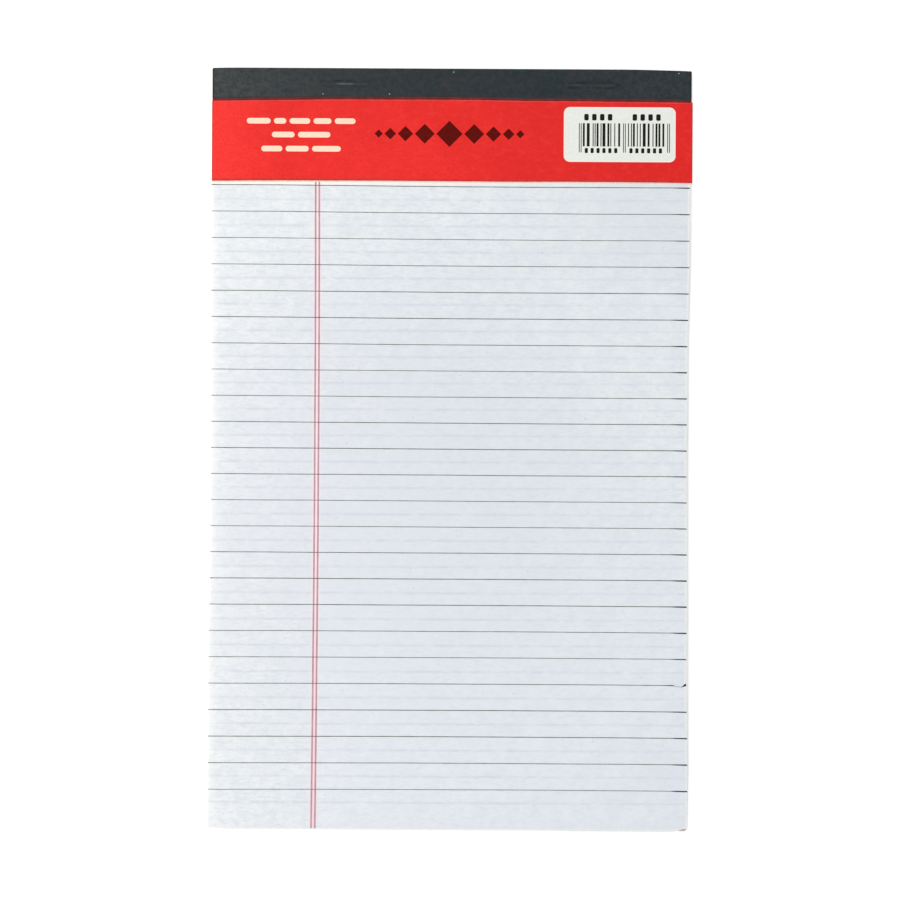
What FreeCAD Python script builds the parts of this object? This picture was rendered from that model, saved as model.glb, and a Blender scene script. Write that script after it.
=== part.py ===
"""A top-bound writing pad, lying on its back.

The pad is a stack: backing board, ruled sheets, header card. Two wire staples
go through the stack near the head and are clinched into the back of the board.
A paper tape, folded over the head, covers both their crowns and their ends.

Millimetres. +X is the pad's width, +Y points at its head and +Z is up. The
origin is at the middle of the footprint, on the surface that the pad lies on.
"""
import FreeCAD, Part
import os
import Sketcher

SIZES = {
    # the footprint, with the tape's thickness inside the length
    "pad_width": 128.0,
    "pad_length": 203.0,
    # the stack, from the back to the front
    "tape_thick": 0.15,
    "board_thick": 0.9,
    "block_thick": 3.0,
    "header_thick": 0.25,
    # the guillotine's cut leans, so the top sheet is a little smaller than the bottom one
    "side_lean": 0.4,
    "tail_lean": 0.3,
    "worn_corner": 1.2,
    # what lies along the head
    "header_depth": 29.8,
    "tape_front_depth": 8.3,
    "tape_back_depth": 12.0,
    "tape_side_gap": 0.2,
    "fold_radius": 0.2,
    # the staples, and the ridges that they raise in the tape
    "staple_left_x": -29.0,
    "staple_right_x": 37.0,
    "staple_inset": 4.2,
    "crown_width": 13.0,
    "crown_rise": 0.15,
    "clinch_length": 4.6,
    "wire_size": 0.5,
    "wire_bend": 0.5,
    "wire_clearance": 0.02,
    "ridge_corner": 0.35,
    "ridge_edge": 0.12,
}

# levels and places that follow from the sizes, as expressions for the document
LEFT, RIGHT = "-sizes.pad_width / 2", "sizes.pad_width / 2"
TAIL = "-sizes.pad_length / 2"
HEAD = "(sizes.pad_length / 2 - sizes.tape_thick)"
BOARD_LEVEL = "sizes.tape_thick"
BLOCK_LEVEL = "(sizes.tape_thick + sizes.board_thick)"
HEADER_LEVEL = f"({BLOCK_LEVEL} + sizes.block_thick)"
HEADER_TOP = f"({HEADER_LEVEL} + sizes.header_thick)"
TAPE_TOP = f"({HEADER_TOP} + sizes.tape_thick)"
CROWN_LEVEL = f"({HEADER_TOP} + sizes.crown_rise - sizes.wire_size / 2)"
CLINCH_LEVEL = "(sizes.tape_thick + sizes.wire_size / 2)"
STAPLE_Y = f"({HEAD} - sizes.staple_inset)"
LEG_X = "(sizes.crown_width / 2 - sizes.wire_size / 2)"
ARM_TIP_X = f"({LEG_X} - sizes.clinch_length)"
STAPLES = {"staple_left": "sizes.staple_left_x", "staple_right": "sizes.staple_right_x"}

# Sketcher's names for the ends of a line or arc, and for a sketch's own origin
START, END = 1, 2
ORIGIN = (-1, 1)
NEAR = 1e-4

doc = FreeCAD.newDocument("writing_pad")
sheet = doc.addObject("Spreadsheet::Sheet", "sizes")


def fill_sheet():
    """The driving dimensions, one to a row: its name, then the value that carries the name."""
    for row, (name, value) in enumerate(SIZES.items(), start=1):
        sheet.set(f"A{row}", name)
        sheet.set(f"B{row}", str(value))
        sheet.setAlias(f"B{row}", name)
    doc.recompute()


def worth(expression):
    """What an expression comes to, with the sheet as it stands."""
    return float(sheet.evalExpression(expression))


# ---------------------------------------------------------------- sketches


def new_sketch(body, name, role, **offsets):
    """A sketch on one of the body's own origin planes, moved along the sketch's axes."""
    sketch = body.newObject("Sketcher::SketchObject", name)
    plane = next(feature for feature in body.Origin.OriginFeatures if feature.Role == role)
    sketch.AttachmentSupport = [(plane, "")]
    sketch.MapMode = "FlatFace"
    for axis, expression in offsets.items():
        sketch.setExpression(f"AttachmentOffset.Base.{axis}", expression)
    return sketch


def tie(sketch, kind, where, expression):
    """Adds a dimension whose value is an expression on the sheet."""
    index = sketch.addConstraint(Sketcher.Constraint(kind, *where, worth(expression)))
    sketch.setExpression(f"Constraints[{index}]", expression)


def draw_polygon(sketch, corners):
    """A closed outline, with both places of each corner tied to the sheet."""
    points = [FreeCAD.Vector(worth(x), worth(y)) for x, y in corners]
    following = points[1:] + points[:1]
    for start, end in zip(points, following):
        sketch.addGeometry(Part.LineSegment(start, end))
    for i, (x, y) in enumerate(corners):
        onward = (i + 1) % len(corners)
        sketch.addConstraint(Sketcher.Constraint("Coincident", i, END, onward, START))
        tie(sketch, "DistanceX", (*ORIGIN, i, START), x)
        tie(sketch, "DistanceY", (*ORIGIN, i, START), y)


def draw_rectangle(sketch, left, right, bottom, top):
    draw_polygon(sketch, [(left, bottom), (right, bottom), (right, top), (left, top)])


def draw_staple_path(sketch):
    """The wire's centre line: arm, left leg, crown, right leg, arm, with a round bend between each two.

    Both arms point inwards. The path runs clockwise, so each bend's second end comes first on it.
    """
    corners = [
        (f"-{ARM_TIP_X}", CLINCH_LEVEL),
        (f"-{LEG_X}", CLINCH_LEVEL),
        (f"-{LEG_X}", CROWN_LEVEL),
        (LEG_X, CROWN_LEVEL),
        (LEG_X, CLINCH_LEVEL),
        (ARM_TIP_X, CLINCH_LEVEL),
    ]
    points = [FreeCAD.Vector(worth(x), worth(y)) for x, y in corners]
    ways = [(end - start).normalize() for start, end in zip(points, points[1:])]
    bend = worth("sizes.wire_bend")

    lines = []
    for i, way in enumerate(ways):
        start = points[i] + way * (bend if i > 0 else 0)
        end = points[i + 1] - way * (bend if way is not ways[-1] else 0)
        lines.append(sketch.addGeometry(Part.LineSegment(start, end)))
    for i, (way, next_way) in enumerate(zip(ways, ways[1:])):
        corner = points[i + 1]
        middle = corner + (next_way - way) * bend * (1 - 0.5**0.5)
        arc = sketch.addGeometry(Part.Arc(corner - way * bend, middle, corner + next_way * bend))
        sketch.addConstraint(Sketcher.Constraint("Tangent", lines[i], END, arc, END))
        sketch.addConstraint(Sketcher.Constraint("Tangent", arc, START, lines[i + 1], START))
        tie(sketch, "Radius", (arc,), "sizes.wire_bend")

    left_arm, left_leg, crown, right_leg, right_arm = lines
    for line in (left_arm, crown, right_arm):
        sketch.addConstraint(Sketcher.Constraint("Horizontal", line))
    tie(sketch, "DistanceX", (*ORIGIN, left_arm, START), f"-{ARM_TIP_X}")
    tie(sketch, "DistanceX", (*ORIGIN, left_leg, START), f"-{LEG_X}")
    tie(sketch, "DistanceX", (*ORIGIN, right_leg, START), LEG_X)
    tie(sketch, "DistanceX", (*ORIGIN, right_arm, END), ARM_TIP_X)
    tie(sketch, "DistanceY", (*ORIGIN, left_arm, START), CLINCH_LEVEL)
    tie(sketch, "DistanceY", (*ORIGIN, crown, START), CROWN_LEVEL)
    tie(sketch, "DistanceY", (*ORIGIN, right_arm, END), CLINCH_LEVEL)


# ---------------------------------------------------------------- features


def new_body(name):
    body = doc.addObject("PartDesign::Body", name)
    body.Label = name
    return body


def extrude(body, kind, name, sketch, length, symmetric=False):
    """A Pad or a Pocket of a sketch, to a length tied to the sheet."""
    feature = body.newObject(f"PartDesign::{kind}", name)
    feature.Profile = sketch
    feature.setExpression("Length", length)
    feature.SideType = "Symmetric" if symmetric else "One side"
    doc.recompute()
    return feature


def fillet(body, name, radius, wanted):
    """Rounds each edge of the body's last feature for which wanted(edge) is true."""
    base = body.Tip
    edges = [f"Edge{i}" for i, edge in enumerate(base.Shape.Edges, start=1) if wanted(edge)]
    feature = body.newObject("PartDesign::Fillet", name)
    feature.Base = (base, edges)
    feature.setExpression("Radius", radius)
    doc.recompute()
    return feature


def sweep(body, kind, name, profile, path):
    """An AdditivePipe or a SubtractivePipe of a profile along a path."""
    feature = body.newObject(f"PartDesign::{kind}", name)
    feature.Profile = profile
    feature.Spine = (path, [f"Edge{i}" for i in range(1, len(path.Shape.Edges) + 1)])
    doc.recompute()
    return feature


def lies_at(edge, x=None, y=None, z=None):
    """Is every point of the edge at the places that are given?"""
    box = edge.BoundBox
    spans = (x, box.XMin, box.XMax), (y, box.YMin, box.YMax), (z, box.ZMin, box.ZMax)
    return all(
        place is None or max(abs(low - place), abs(high - place)) < NEAR
        for place, low, high in spans
    )


def cut_staple_channels(body):
    """The way that each staple's wire has pressed and pierced through a piece."""
    reach = "(sizes.wire_size / 2 + sizes.wire_clearance)"
    for name, x in STAPLES.items():
        # an XZ sketch faces the tail, so its own depth is measured that way
        path = new_sketch(body, f"{body.Name}_{name}_path", "XZ_Plane", x=x, z=f"-{STAPLE_Y}")
        draw_staple_path(path)
        profile = new_sketch(
            body, f"{body.Name}_{name}_section", "YZ_Plane",
            x=STAPLE_Y, y=CLINCH_LEVEL, z=f"{x} - {ARM_TIP_X}",
        )
        draw_rectangle(profile, f"-{reach}", reach, f"-{reach}", reach)
        doc.recompute()
        sweep(body, "SubtractivePipe", f"{body.Name}_{name}_channel", profile, path)


# ---------------------------------------------------------------- the pieces


def build_backing_board():
    """Greyboard of the pad's full size, its head edge rounded under the tape's fold."""
    body = new_body("backing_board")
    outline = new_sketch(body, "board_outline", "XY_Plane", z=BOARD_LEVEL)
    draw_rectangle(outline, LEFT, RIGHT, TAIL, HEAD)
    extrude(body, "Pad", "board", outline, "sizes.board_thick")
    head, underside = worth(HEAD), worth(BOARD_LEVEL)
    fillet(body, "board_fold", "sizes.fold_radius", lambda edge: lies_at(edge, y=head, z=underside))
    cut_staple_channels(body)
    return body


def build_sheet_block():
    """All the sheets as one block, leaning at the right side and the tail, with one worn corner."""
    body = new_body("sheet_block")
    across = new_sketch(body, "section_across", "XZ_Plane", z=f"-{HEAD}")
    draw_polygon(across, [
        (LEFT, BLOCK_LEVEL), (RIGHT, BLOCK_LEVEL),
        (f"{RIGHT} - sizes.side_lean", HEADER_LEVEL), (LEFT, HEADER_LEVEL),
    ])
    extrude(body, "Pad", "block", across, "sizes.pad_length - sizes.tape_thick")
    lean = new_sketch(body, "tail_lean_section", "YZ_Plane")
    draw_polygon(lean, [
        (TAIL, BLOCK_LEVEL), (f"{TAIL} + sizes.tail_lean", HEADER_LEVEL), (TAIL, HEADER_LEVEL),
    ])
    extrude(body, "Pocket", "tail_lean", lean, "2 * sizes.pad_width", symmetric=True)

    right, tail = worth(RIGHT), worth(TAIL)
    floor, top = worth(BLOCK_LEVEL), worth(HEADER_LEVEL)

    def at_worn_corner(edge):
        box = edge.BoundBox
        at_corner = box.XMax > right - NEAR and box.YMin < tail + NEAR
        return at_corner and box.ZMin < floor + NEAR and box.ZMax > top - NEAR

    fillet(body, "worn_corner", "sizes.worn_corner", at_worn_corner)
    cut_staple_channels(body)
    return body


def build_header_strip():
    """The printed card across the head, its head edge rounded under the tape's fold."""
    body = new_body("header_strip")
    outline = new_sketch(body, "header_outline", "XY_Plane", z=HEADER_LEVEL)
    draw_rectangle(outline, LEFT, RIGHT, f"{HEAD} - sizes.header_depth", HEAD)
    extrude(body, "Pad", "header", outline, "sizes.header_thick")
    head, top = worth(HEAD), worth(HEADER_TOP)
    fillet(body, "header_fold", "sizes.fold_radius", lambda edge: lies_at(edge, y=head, z=top))
    cut_staple_channels(body)
    return body


def build_binding_tape():
    """Tape folded over the head: two leaves and a spine, with a ridge over each staple's crown."""
    body = new_body("binding_tape")
    front, back = f"({HEAD} - sizes.tape_front_depth)", f"({HEAD} - sizes.tape_back_depth)"
    spine = f"({HEAD} + sizes.tape_thick)"
    outside = [
        (back, "0"), (spine, "0"), (spine, TAPE_TOP), (front, TAPE_TOP),
        (front, HEADER_TOP), (HEAD, HEADER_TOP), (HEAD, BOARD_LEVEL), (back, BOARD_LEVEL),
    ]
    section = new_sketch(body, "tape_section", "YZ_Plane")
    draw_polygon(section, outside)
    extrude(body, "Pad", "tape", section, "sizes.pad_width - 2 * sizes.tape_side_gap", symmetric=True)

    inside, outer = worth(HEAD), worth(spine)
    board, header, top = worth(BOARD_LEVEL), worth(HEADER_TOP), worth(TAPE_TOP)
    fillet(
        body, "inner_folds", "sizes.fold_radius",
        lambda edge: lies_at(edge, y=inside, z=board) or lies_at(edge, y=inside, z=header),
    )
    fillet(
        body, "outer_folds", "sizes.fold_radius + sizes.tape_thick",
        lambda edge: lies_at(edge, y=outer, z=0) or lies_at(edge, y=outer, z=top),
    )

    half_length = "sizes.crown_width / 2"
    half_width = "(sizes.wire_size / 2 + sizes.wire_clearance + sizes.tape_thick)"
    rise = "sizes.crown_rise + sizes.wire_clearance"
    for name, x in STAPLES.items():
        outline = new_sketch(body, f"{name}_ridge_outline", "XY_Plane", z=TAPE_TOP)
        draw_rectangle(
            outline, f"{x} - {half_length}", f"{x} + {half_length}",
            f"{STAPLE_Y} - {half_width}", f"{STAPLE_Y} + {half_width}",
        )
        extrude(body, "Pad", f"{name}_ridge", outline, rise)
    ridge_top = top + worth(rise)
    fillet(
        body, "ridge_corners", "sizes.ridge_corner",
        lambda edge: edge.BoundBox.ZMin > top - NEAR and edge.BoundBox.ZLength > NEAR,
    )
    fillet(body, "ridge_edges", "sizes.ridge_edge", lambda edge: lies_at(edge, z=ridge_top))
    cut_staple_channels(body)
    return body


def build_staple(name, x):
    """Round wire, bent into a crown and two legs, with both arms clinched inwards."""
    body = new_body(name)
    path = new_sketch(body, f"{name}_path", "XZ_Plane")
    draw_staple_path(path)
    profile = new_sketch(
        body, f"{name}_section", "YZ_Plane", y=CLINCH_LEVEL, z=f"-{ARM_TIP_X}"
    )
    profile.addGeometry(Part.Circle(FreeCAD.Vector(), FreeCAD.Vector(0, 0, 1), worth("sizes.wire_size") / 2))
    profile.addConstraint(Sketcher.Constraint("Coincident", 0, 3, *ORIGIN))
    tie(profile, "Radius", (0,), "sizes.wire_size / 2")
    doc.recompute()
    sweep(body, "AdditivePipe", f"{name}_wire", profile, path)
    body.setExpression("Placement.Base.x", x)
    body.setExpression("Placement.Base.y", STAPLE_Y)
    return body


def check(pieces):
    """Stops if anything in the document failed or any piece isn't one valid solid."""
    failed = [item.Name for item in doc.Objects if {"Invalid", "Error"} & set(item.State)]
    if failed:
        raise RuntimeError(f"failed: {failed}")
    for piece in pieces:
        shape = piece.Shape
        if shape.isNull() or not shape.isValid() or len(shape.Solids) != 1:
            raise RuntimeError(f"{piece.Label} isn't one valid solid")
        print(f"{piece.Label}: {shape.Volume:.3f} mm3")


fill_sheet()
pieces = [
    build_backing_board(),
    build_sheet_block(),
    build_header_strip(),
    build_binding_tape(),
    *(build_staple(name, x) for name, x in STAPLES.items()),
]
doc.recompute()
check(pieces)
os.makedirs("parts", exist_ok=True)
for piece in pieces:
    piece.Shape.exportStep(f"parts/{piece.Label}.step")
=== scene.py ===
import math

import bpy
import numpy as np
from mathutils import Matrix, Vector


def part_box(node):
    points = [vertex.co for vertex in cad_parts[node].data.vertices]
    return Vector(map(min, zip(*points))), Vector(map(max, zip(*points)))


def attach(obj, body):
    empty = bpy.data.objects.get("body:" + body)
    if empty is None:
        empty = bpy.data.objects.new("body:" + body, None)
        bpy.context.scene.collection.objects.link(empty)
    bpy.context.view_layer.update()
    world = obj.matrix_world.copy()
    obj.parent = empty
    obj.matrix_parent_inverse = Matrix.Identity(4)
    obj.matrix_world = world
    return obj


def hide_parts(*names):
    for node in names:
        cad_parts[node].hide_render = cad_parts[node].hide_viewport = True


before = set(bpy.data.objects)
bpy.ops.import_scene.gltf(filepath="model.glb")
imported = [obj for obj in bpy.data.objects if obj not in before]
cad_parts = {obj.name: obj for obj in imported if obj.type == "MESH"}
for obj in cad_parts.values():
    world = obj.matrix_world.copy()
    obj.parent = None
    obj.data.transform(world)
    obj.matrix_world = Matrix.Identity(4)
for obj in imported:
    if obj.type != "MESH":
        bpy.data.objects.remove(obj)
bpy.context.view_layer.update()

# A top-bound writing pad that lies on its back: ruled sheets on a board, a red header card and a folded tape.
# Shapes and patterns are worked out in millimetres. Meshes and textures take them in metres.
MM = 0.001


def box_mm(node):
    """A CAD node's lowest and highest corners, in millimetres."""
    low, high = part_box(node)
    return np.array(low) / MM, np.array(high) / MM


BLOCK_LOW, BLOCK_HIGH = box_mm("sheet_block")
BOARD_LOW, BOARD_HIGH = box_mm("backing_board")
CARD_LOW, CARD_HIGH = box_mm("header_strip")
TAPE_LOW, TAPE_HIGH = box_mm("binding_tape")
STAPLES = (box_mm("staple_left"), box_mm("staple_right"))
LEFT, TAIL = BLOCK_LOW[0], BLOCK_LOW[1]
RIGHT, HEAD = BLOCK_HIGH[0], BLOCK_HIGH[1]

# The stack of sheets. Meshes are finer within EDGE_REACH of a cut edge.
SHEETS = 40
LOOSE_SHEETS = 3
SHEET_PITCH = (BLOCK_HIGH[2] - BLOCK_LOW[2]) / SHEETS
SHEET_THICK = 0.88 * SHEET_PITCH
EDGE_FINE = 0.25
EDGE_REACH = 1.5
WORN_CORNER = 0.25
PAGE_GROOVE = 0.03
BOARD_LAYERS = 9
LEFT_ROLL = 0.42
LEFT_REACH = 4.5
NICK_RULE = 19
NICK_DEPTH = 0.35
NICK_REACH = 0.45

# The printed rules, the double margin line, and the rules that show through from the sheet's back.
RULES = 24
RULE_PITCH = 7.0
FIRST_RULE = CARD_LOW[1] - 1.62
RULE_HALF = 0.088
RULE_STEP = 1.6
HEAVY_RUN = 4.7
HEAVY_FULL = 2.4
HEAVY_HALF = 0.098
RULE_DRIFT = 0.246
TORN_RUN = 3.7
TORN_SHORT = 1.3
FLICK_RUN = 1.28
INK_RISE = 0.012
INK_SINK = 0.004
RULE_OVER = 0.006
MARGIN_X = LEFT + 28.268
MARGIN_GAP = 0.98
MARGIN_HALF = 0.22
MARGIN_BOW = 3.74e-5
MARGIN_LEAN = -0.00094
GHOST_DROP = 3.52
GHOST_TURN = 0.0003

# The card and the tape.
CARD_BEVEL = 0.3
CARD_DARK_BAND = 0.6
CARD_TUCK = 0.45
CARD_ROUND = 0.22
UNDER_TAPE = 0.15
TAPE_THICK = 0.15
TAPE_TOP = CARD_HIGH[2] + TAPE_THICK
TAPE_ENDS = (TAPE_LOW[0] - 0.16, TAPE_HIGH[0] + 0.04)
TAPE_LEAF = 8.22
SHADOW_LINE_WIDTH = 0.9
FOLD = 0.35
RIDGE_HALF = 0.55
CREASE_OUT = 0.85
WEAVE_SCALE = 900.0

# Streaks on the tape over each staple: place behind the crown, half width, grey and strength. The dark ones
# are painted shade in the creases; those above the grey limit are a painted highlight with rubbed wear, by
# PALE_SPREAD's shares at
# PALE_REACH from PALE_MIDDLE off the middle.
STAPLE_MARKS = (
    ((0.8, 0.55, 12, 0.8), (0.1, 0.36, 94, 0.75), (-0.7, 0.35, 24, 0.3)),
    ((0.75, 0.45, 10, 0.5), (0.05, 0.4, 76, 0.7), (-0.7, 0.38, 10, 0.5)),
)
SHINE_AND_RUB_GREY = 50
PALE_REACH = (1.4, 2.8)
PALE_SPREAD = ((1.0, 0.15), (0.2, 1.0))
PALE_MIDDLE = (0.4, 0.0)

# The print on the card. Each row of dashes has a width, a drop from PRINT_TOP, a count and a seed.
DASH_ROWS = ((29.0, 5.75, 5, 31), (15.6, 9.4, 2, 32), (21.2, 13.15, 3, 33))
PRINT_TOP = CARD_HIGH[1] - 8.3
DASH_X = CARD_LOW[0] + 23.7
DASH_HEIGHT = 1.5
DASH_GAP = 0.9
ORNAMENT_X = -0.7
ORNAMENT_DROP = 9.0
LOZENGE = 7.0
LOZENGES = (5.3, 4.1, 3.1, 2.2)
LOZENGE_GAP = 0.45

# The white panel at the right of the card.
LABEL_X = CARD_HIGH[0] - 19.27
LABEL_DROP = 8.97
LABEL_WIDTH = 29.85
LABEL_HEIGHT = 14.64
LABEL_RIM = 0.32
LABEL_CORNER = 1.65
BAR_MODULE = 0.262
BAR_MODULES = 93
BAR_HALF = BAR_MODULES // 2
BAR_TOP = 5.95
BAR_LEFT = LABEL_X - BAR_MODULES * BAR_MODULE / 2 + 1.3


def ease(t):
    """0 below 0, 1 above 1 and smooth between."""
    t = np.clip(t, 0.0, 1.0)
    return t * t * (3 - 2 * t)


def ripple(seed, t, longest, size, octaves=4):
    """A smooth seeded wander along t, whose longest wave is given, about size to each side."""
    rng = np.random.default_rng(seed)
    total = np.zeros_like(np.asarray(t, float))
    for octave in range(octaves):
        phase = rng.uniform(0, 2 * math.pi)
        stretch = rng.uniform(0.8, 1.25)
        total += np.sin(2 * math.pi * t * stretch * 2**octave / longest + phase) / 1.7**octave
    return size * total / 1.8


def stations(low, high, step, fine=EDGE_FINE, reach=EDGE_REACH, extra=()):
    """Positions from low to high, a fine step apart near both ends and a coarse one between."""
    ends = np.arange(0, reach, fine)
    count = max(2, round((high - low - 2 * reach) / step) + 1)
    middle = np.linspace(low + reach, high - reach, count)
    return np.unique(np.concatenate([low + ends, middle, high - ends, np.asarray(extra, float)]))


def stacked(x, y, z):
    """Three arrays of coordinates as one array of points."""
    return np.stack(np.broadcast_arrays(x, y, z), axis=-1).astype(float)


def border_of(grid):
    """A grid's border, anticlockwise as its first rows run left to right."""
    return np.concatenate([grid[0, :], grid[1:, -1], grid[-1, -2::-1], grid[-2:0:-1, 0]])


def banded(grid, first_rows=0, sides=0):
    """Material numbers for a grid's faces: 0, and 2 along its first rows and both its sides."""
    parts = np.zeros((grid.shape[0] - 1, grid.shape[1] - 1), int)
    parts[:first_rows, :] = 2
    parts[:, :sides] = 2
    parts[:, parts.shape[1] - sides:] = 2
    return parts


def piece(name, mesh, materials, node=None):
    """A named piece that rides on the pad's one body, and stands for a CAD node where one is given."""
    made = bpy.data.objects.new(name, mesh)
    bpy.context.scene.collection.objects.link(made)
    for material in materials:
        mesh.materials.append(material)
    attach(made, "root")
    if node:
        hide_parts(node)


class Skin:
    """Closed shells in one mesh. Material 0 is the outer side, 1 the rest and 2 a band on its border."""

    def __init__(self):
        self.points, self.faces, self.parts = [], [], []
        self.count = 0

    def add(self, points):
        """Adds points and returns where they start."""
        start = self.count
        flat = points.reshape(-1, 3)
        self.points.append(flat)
        self.count += len(flat)
        return start

    def shell(self, outer, inner, rings=(), parts=None, back=1):
        """A shell between two grids of points, with rings of points between their borders, outer first."""
        rows, cols = outer.shape[:2]
        index = np.arange(rows * cols).reshape(rows, cols)
        first = self.add(outer)
        second = self.add(inner)
        a, b, c, d = index[:-1, :-1], index[:-1, 1:], index[1:, 1:], index[1:, :-1]
        quads = np.stack([a, b, c, d], axis=-1).reshape(-1, 4)
        border = border_of(index)
        loops = [border + first]
        for ring in rings:
            loops.append(np.arange(len(ring)) + self.add(ring))
        loops.append(border + second)
        self.faces.append(quads + first)
        self.parts.append(np.zeros(len(quads), int) if parts is None else parts.ravel())
        for upper, lower in zip(loops, loops[1:]):
            walls = np.stack([upper, lower, np.roll(lower, -1), np.roll(upper, -1)], axis=-1)
            self.faces.append(walls)
            self.parts.append(np.ones(len(walls), int))
        self.faces.append(quads[:, ::-1] + second)
        self.parts.append(np.full(len(quads), back))
        return self

    def piece(self, name, sharp, slot, materials, node=None):
        """The gathered shells as a piece, smooth but for edges sharper than an angle in degrees."""
        points = np.concatenate(self.points) * MM
        faces = np.concatenate(self.faces)
        made = bpy.data.meshes.new(name)
        made.from_pydata(points.tolist(), [], faces.tolist())
        parts = np.concatenate(self.parts)
        made.polygons.foreach_set("material_index", parts.astype(np.int32))
        made.polygons.foreach_set("use_smooth", np.ones(len(faces), bool))
        made.set_sharp_from_angle(angle=math.radians(sharp))
        made.update()
        piece(name, made, materials, node)


# ---- materials

def srgb(red, green, blue):
    """A colour as a picture writes it, 0 to 255, as the linear colour that a shader takes."""
    def linear(value):
        share = value / 255
        return share / 12.92 if share <= 0.04045 else ((share + 0.055) / 1.055) ** 2.4

    return (linear(red), linear(green), linear(blue), 1.0)


class Finish:
    """A material being made from nodes, in the object's own coordinates."""

    def __init__(self, name, roughness, specular):
        self.material = bpy.data.materials.new(name)
        self.material.use_nodes = True
        self.tree = self.material.node_tree
        self.shader = self.tree.nodes["Principled BSDF"]
        self.shader.inputs["Roughness"].default_value = roughness
        self.shader.inputs["Specular IOR Level"].default_value = specular
        self.place = self.node("ShaderNodeTexCoord").outputs["Object"]

    def node(self, kind, **inputs):
        made = self.tree.nodes.new(kind)
        for name, value in inputs.items():
            self.feed(made.inputs[name], value)
        return made

    def feed(self, socket, value):
        if isinstance(value, bpy.types.NodeSocket):
            self.tree.links.new(value, socket)
        else:
            socket.default_value = value

    def noise(self, size, detail=4.0, rough=0.7, scale=None, turn=0.0, bend=0.0):
        """Noise whose blotches are about size across, divided by any scale on each axis, and turned."""
        place = self.place
        if scale:
            made = self.node("ShaderNodeMapping", Vector=place, Scale=scale, Rotation=(0.0, 0.0, turn))
            place = made.outputs["Vector"]
        looks = {"Scale": 1 / (size * MM), "Detail": detail, "Roughness": rough, "Distortion": bend}
        return self.node("ShaderNodeTexNoise", Vector=place, **looks).outputs["Fac"]

    def maths(self, operation, a, b=0.0):
        made = self.tree.nodes.new("ShaderNodeMath")
        made.operation = operation
        self.feed(made.inputs[0], a)
        self.feed(made.inputs[1], b)
        return made.outputs[0]

    def plus(self, a, b):
        return self.maths("ADD", a, b)

    def times(self, value, *others):
        for other in others:
            value = self.maths("MULTIPLY", value, other)
        return value

    def apart(self, a, b):
        """How far two values lie apart."""
        return self.maths("ABSOLUTE", self.maths("SUBTRACT", a, b))

    def fade(self, value, low, high, start=0.0, end=1.0):
        """start below low, end above high and smooth between."""
        ends = {"From Min": low, "From Max": high, "To Min": start, "To Max": end}
        made = self.node("ShaderNodeMapRange", Value=value, **ends)
        made.interpolation_type = "SMOOTHSTEP"
        return made.outputs["Result"]

    def mix(self, share, a, b):
        """A mix of two tones, each a node's colour or one as a picture writes it."""
        made = self.tree.nodes.new("ShaderNodeMix")
        made.data_type = "RGBA"
        self.feed(made.inputs[0], share)
        for place, tone in ((6, a), (7, b)):
            self.feed(made.inputs[place], srgb(*tone) if isinstance(tone, tuple) else tone)
        return made.outputs[2]

    def over(self, tone, colour, value, low=0.35, high=0.7, end=1.0, start=0.0):
        """A tone with a colour laid over it, by start where a value is low and by end where it is high."""
        return self.mix(self.fade(value, low, high, start, end), tone, colour)

    def along(self, axis):
        """One coordinate of the place, in millimetres."""
        split = self.node("ShaderNodeSeparateXYZ", Vector=self.place)
        return self.times(split.outputs[axis], 1 / MM)

    @property
    def x(self):
        return self.along(0)

    @property
    def y(self):
        return self.along(1)

    def specks(self, cell, radius, share, strength):
        """A strength inside sparse round specks, one at most in each cell, in the share of cells given."""
        made = self.node("ShaderNodeTexVoronoi", Vector=self.place, Scale=1 / (cell * MM))
        made.voronoi_dimensions = "2D"
        reach = radius / cell
        inside = self.fade(made.outputs["Distance"], 0.6 * reach, reach, 1.0, 0.0)
        split = self.node("ShaderNodeSeparateColor", Color=made.outputs["Color"])
        return self.times(inside, self.maths("LESS_THAN", split.outputs[0], share), strength)

    def weave(self):
        """Fine bands both ways, as cloth has."""
        threads = []
        for direction in "XY":
            made = self.node("ShaderNodeTexWave", Vector=self.place, Scale=WEAVE_SCALE, Distortion=1.2)
            made.bands_direction = direction
            threads.append(made.outputs["Fac"])
        return self.times(*threads)

    def rough(self, value, low, high):
        """Makes the roughness low where a noise is low and high where it is high."""
        self.feed(self.shader.inputs["Roughness"], self.fade(value, 0.3, 0.7, low, high))

    def done(self, tone, height=None, depth=0.0, strength=0.5):
        """The material with its colour, and with bumps of a depth where a height is given."""
        self.feed(self.shader.inputs["Base Color"], tone)
        if depth:
            made = self.node("ShaderNodeBump", Height=height, Distance=depth * MM, Strength=strength)
            self.feed(self.shader.inputs["Normal"], made.outputs["Normal"])
        return self.material


def painted_shade_patch(f):
    """A wide faint patch of painted shade near the middle of the sheet."""
    across = f.plus(f.x, 14.5)
    along = f.times(f.plus(f.y, 11.8), 0.816)
    far = f.plus(f.times(across, across), f.times(along, along))
    return f.fade(f.maths("SQRT", far), 16.2, 81.8, 0.557, 0.0)


def from_painted_highlight(f):
    """How far a place lies right of the line where the painted highlight along the sheet's left edge fades to
    the paper.
    """
    line = f.fade(f.y, -55.0, -12.0, LEFT - 0.25, LEFT + 0.28)
    uneven = f.plus(f.times(f.noise(14.0, 3.0, 0.6), 0.6), -0.3)
    return f.plus(f.maths("SUBTRACT", f.x, line), uneven)


def from_margin(f):
    """How far a place lies from the middle of the double margin line."""
    y = f.y
    bow = f.plus(f.times(y, y, MARGIN_BOW), f.times(y, MARGIN_LEAN))
    return f.apart(f.plus(f.x, bow), MARGIN_X)


def rules_down(f, y):
    """How many rules down the page a height lies, from the first rule."""
    return f.times(f.maths("SUBTRACT", FIRST_RULE, y), 1 / RULE_PITCH)


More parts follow.
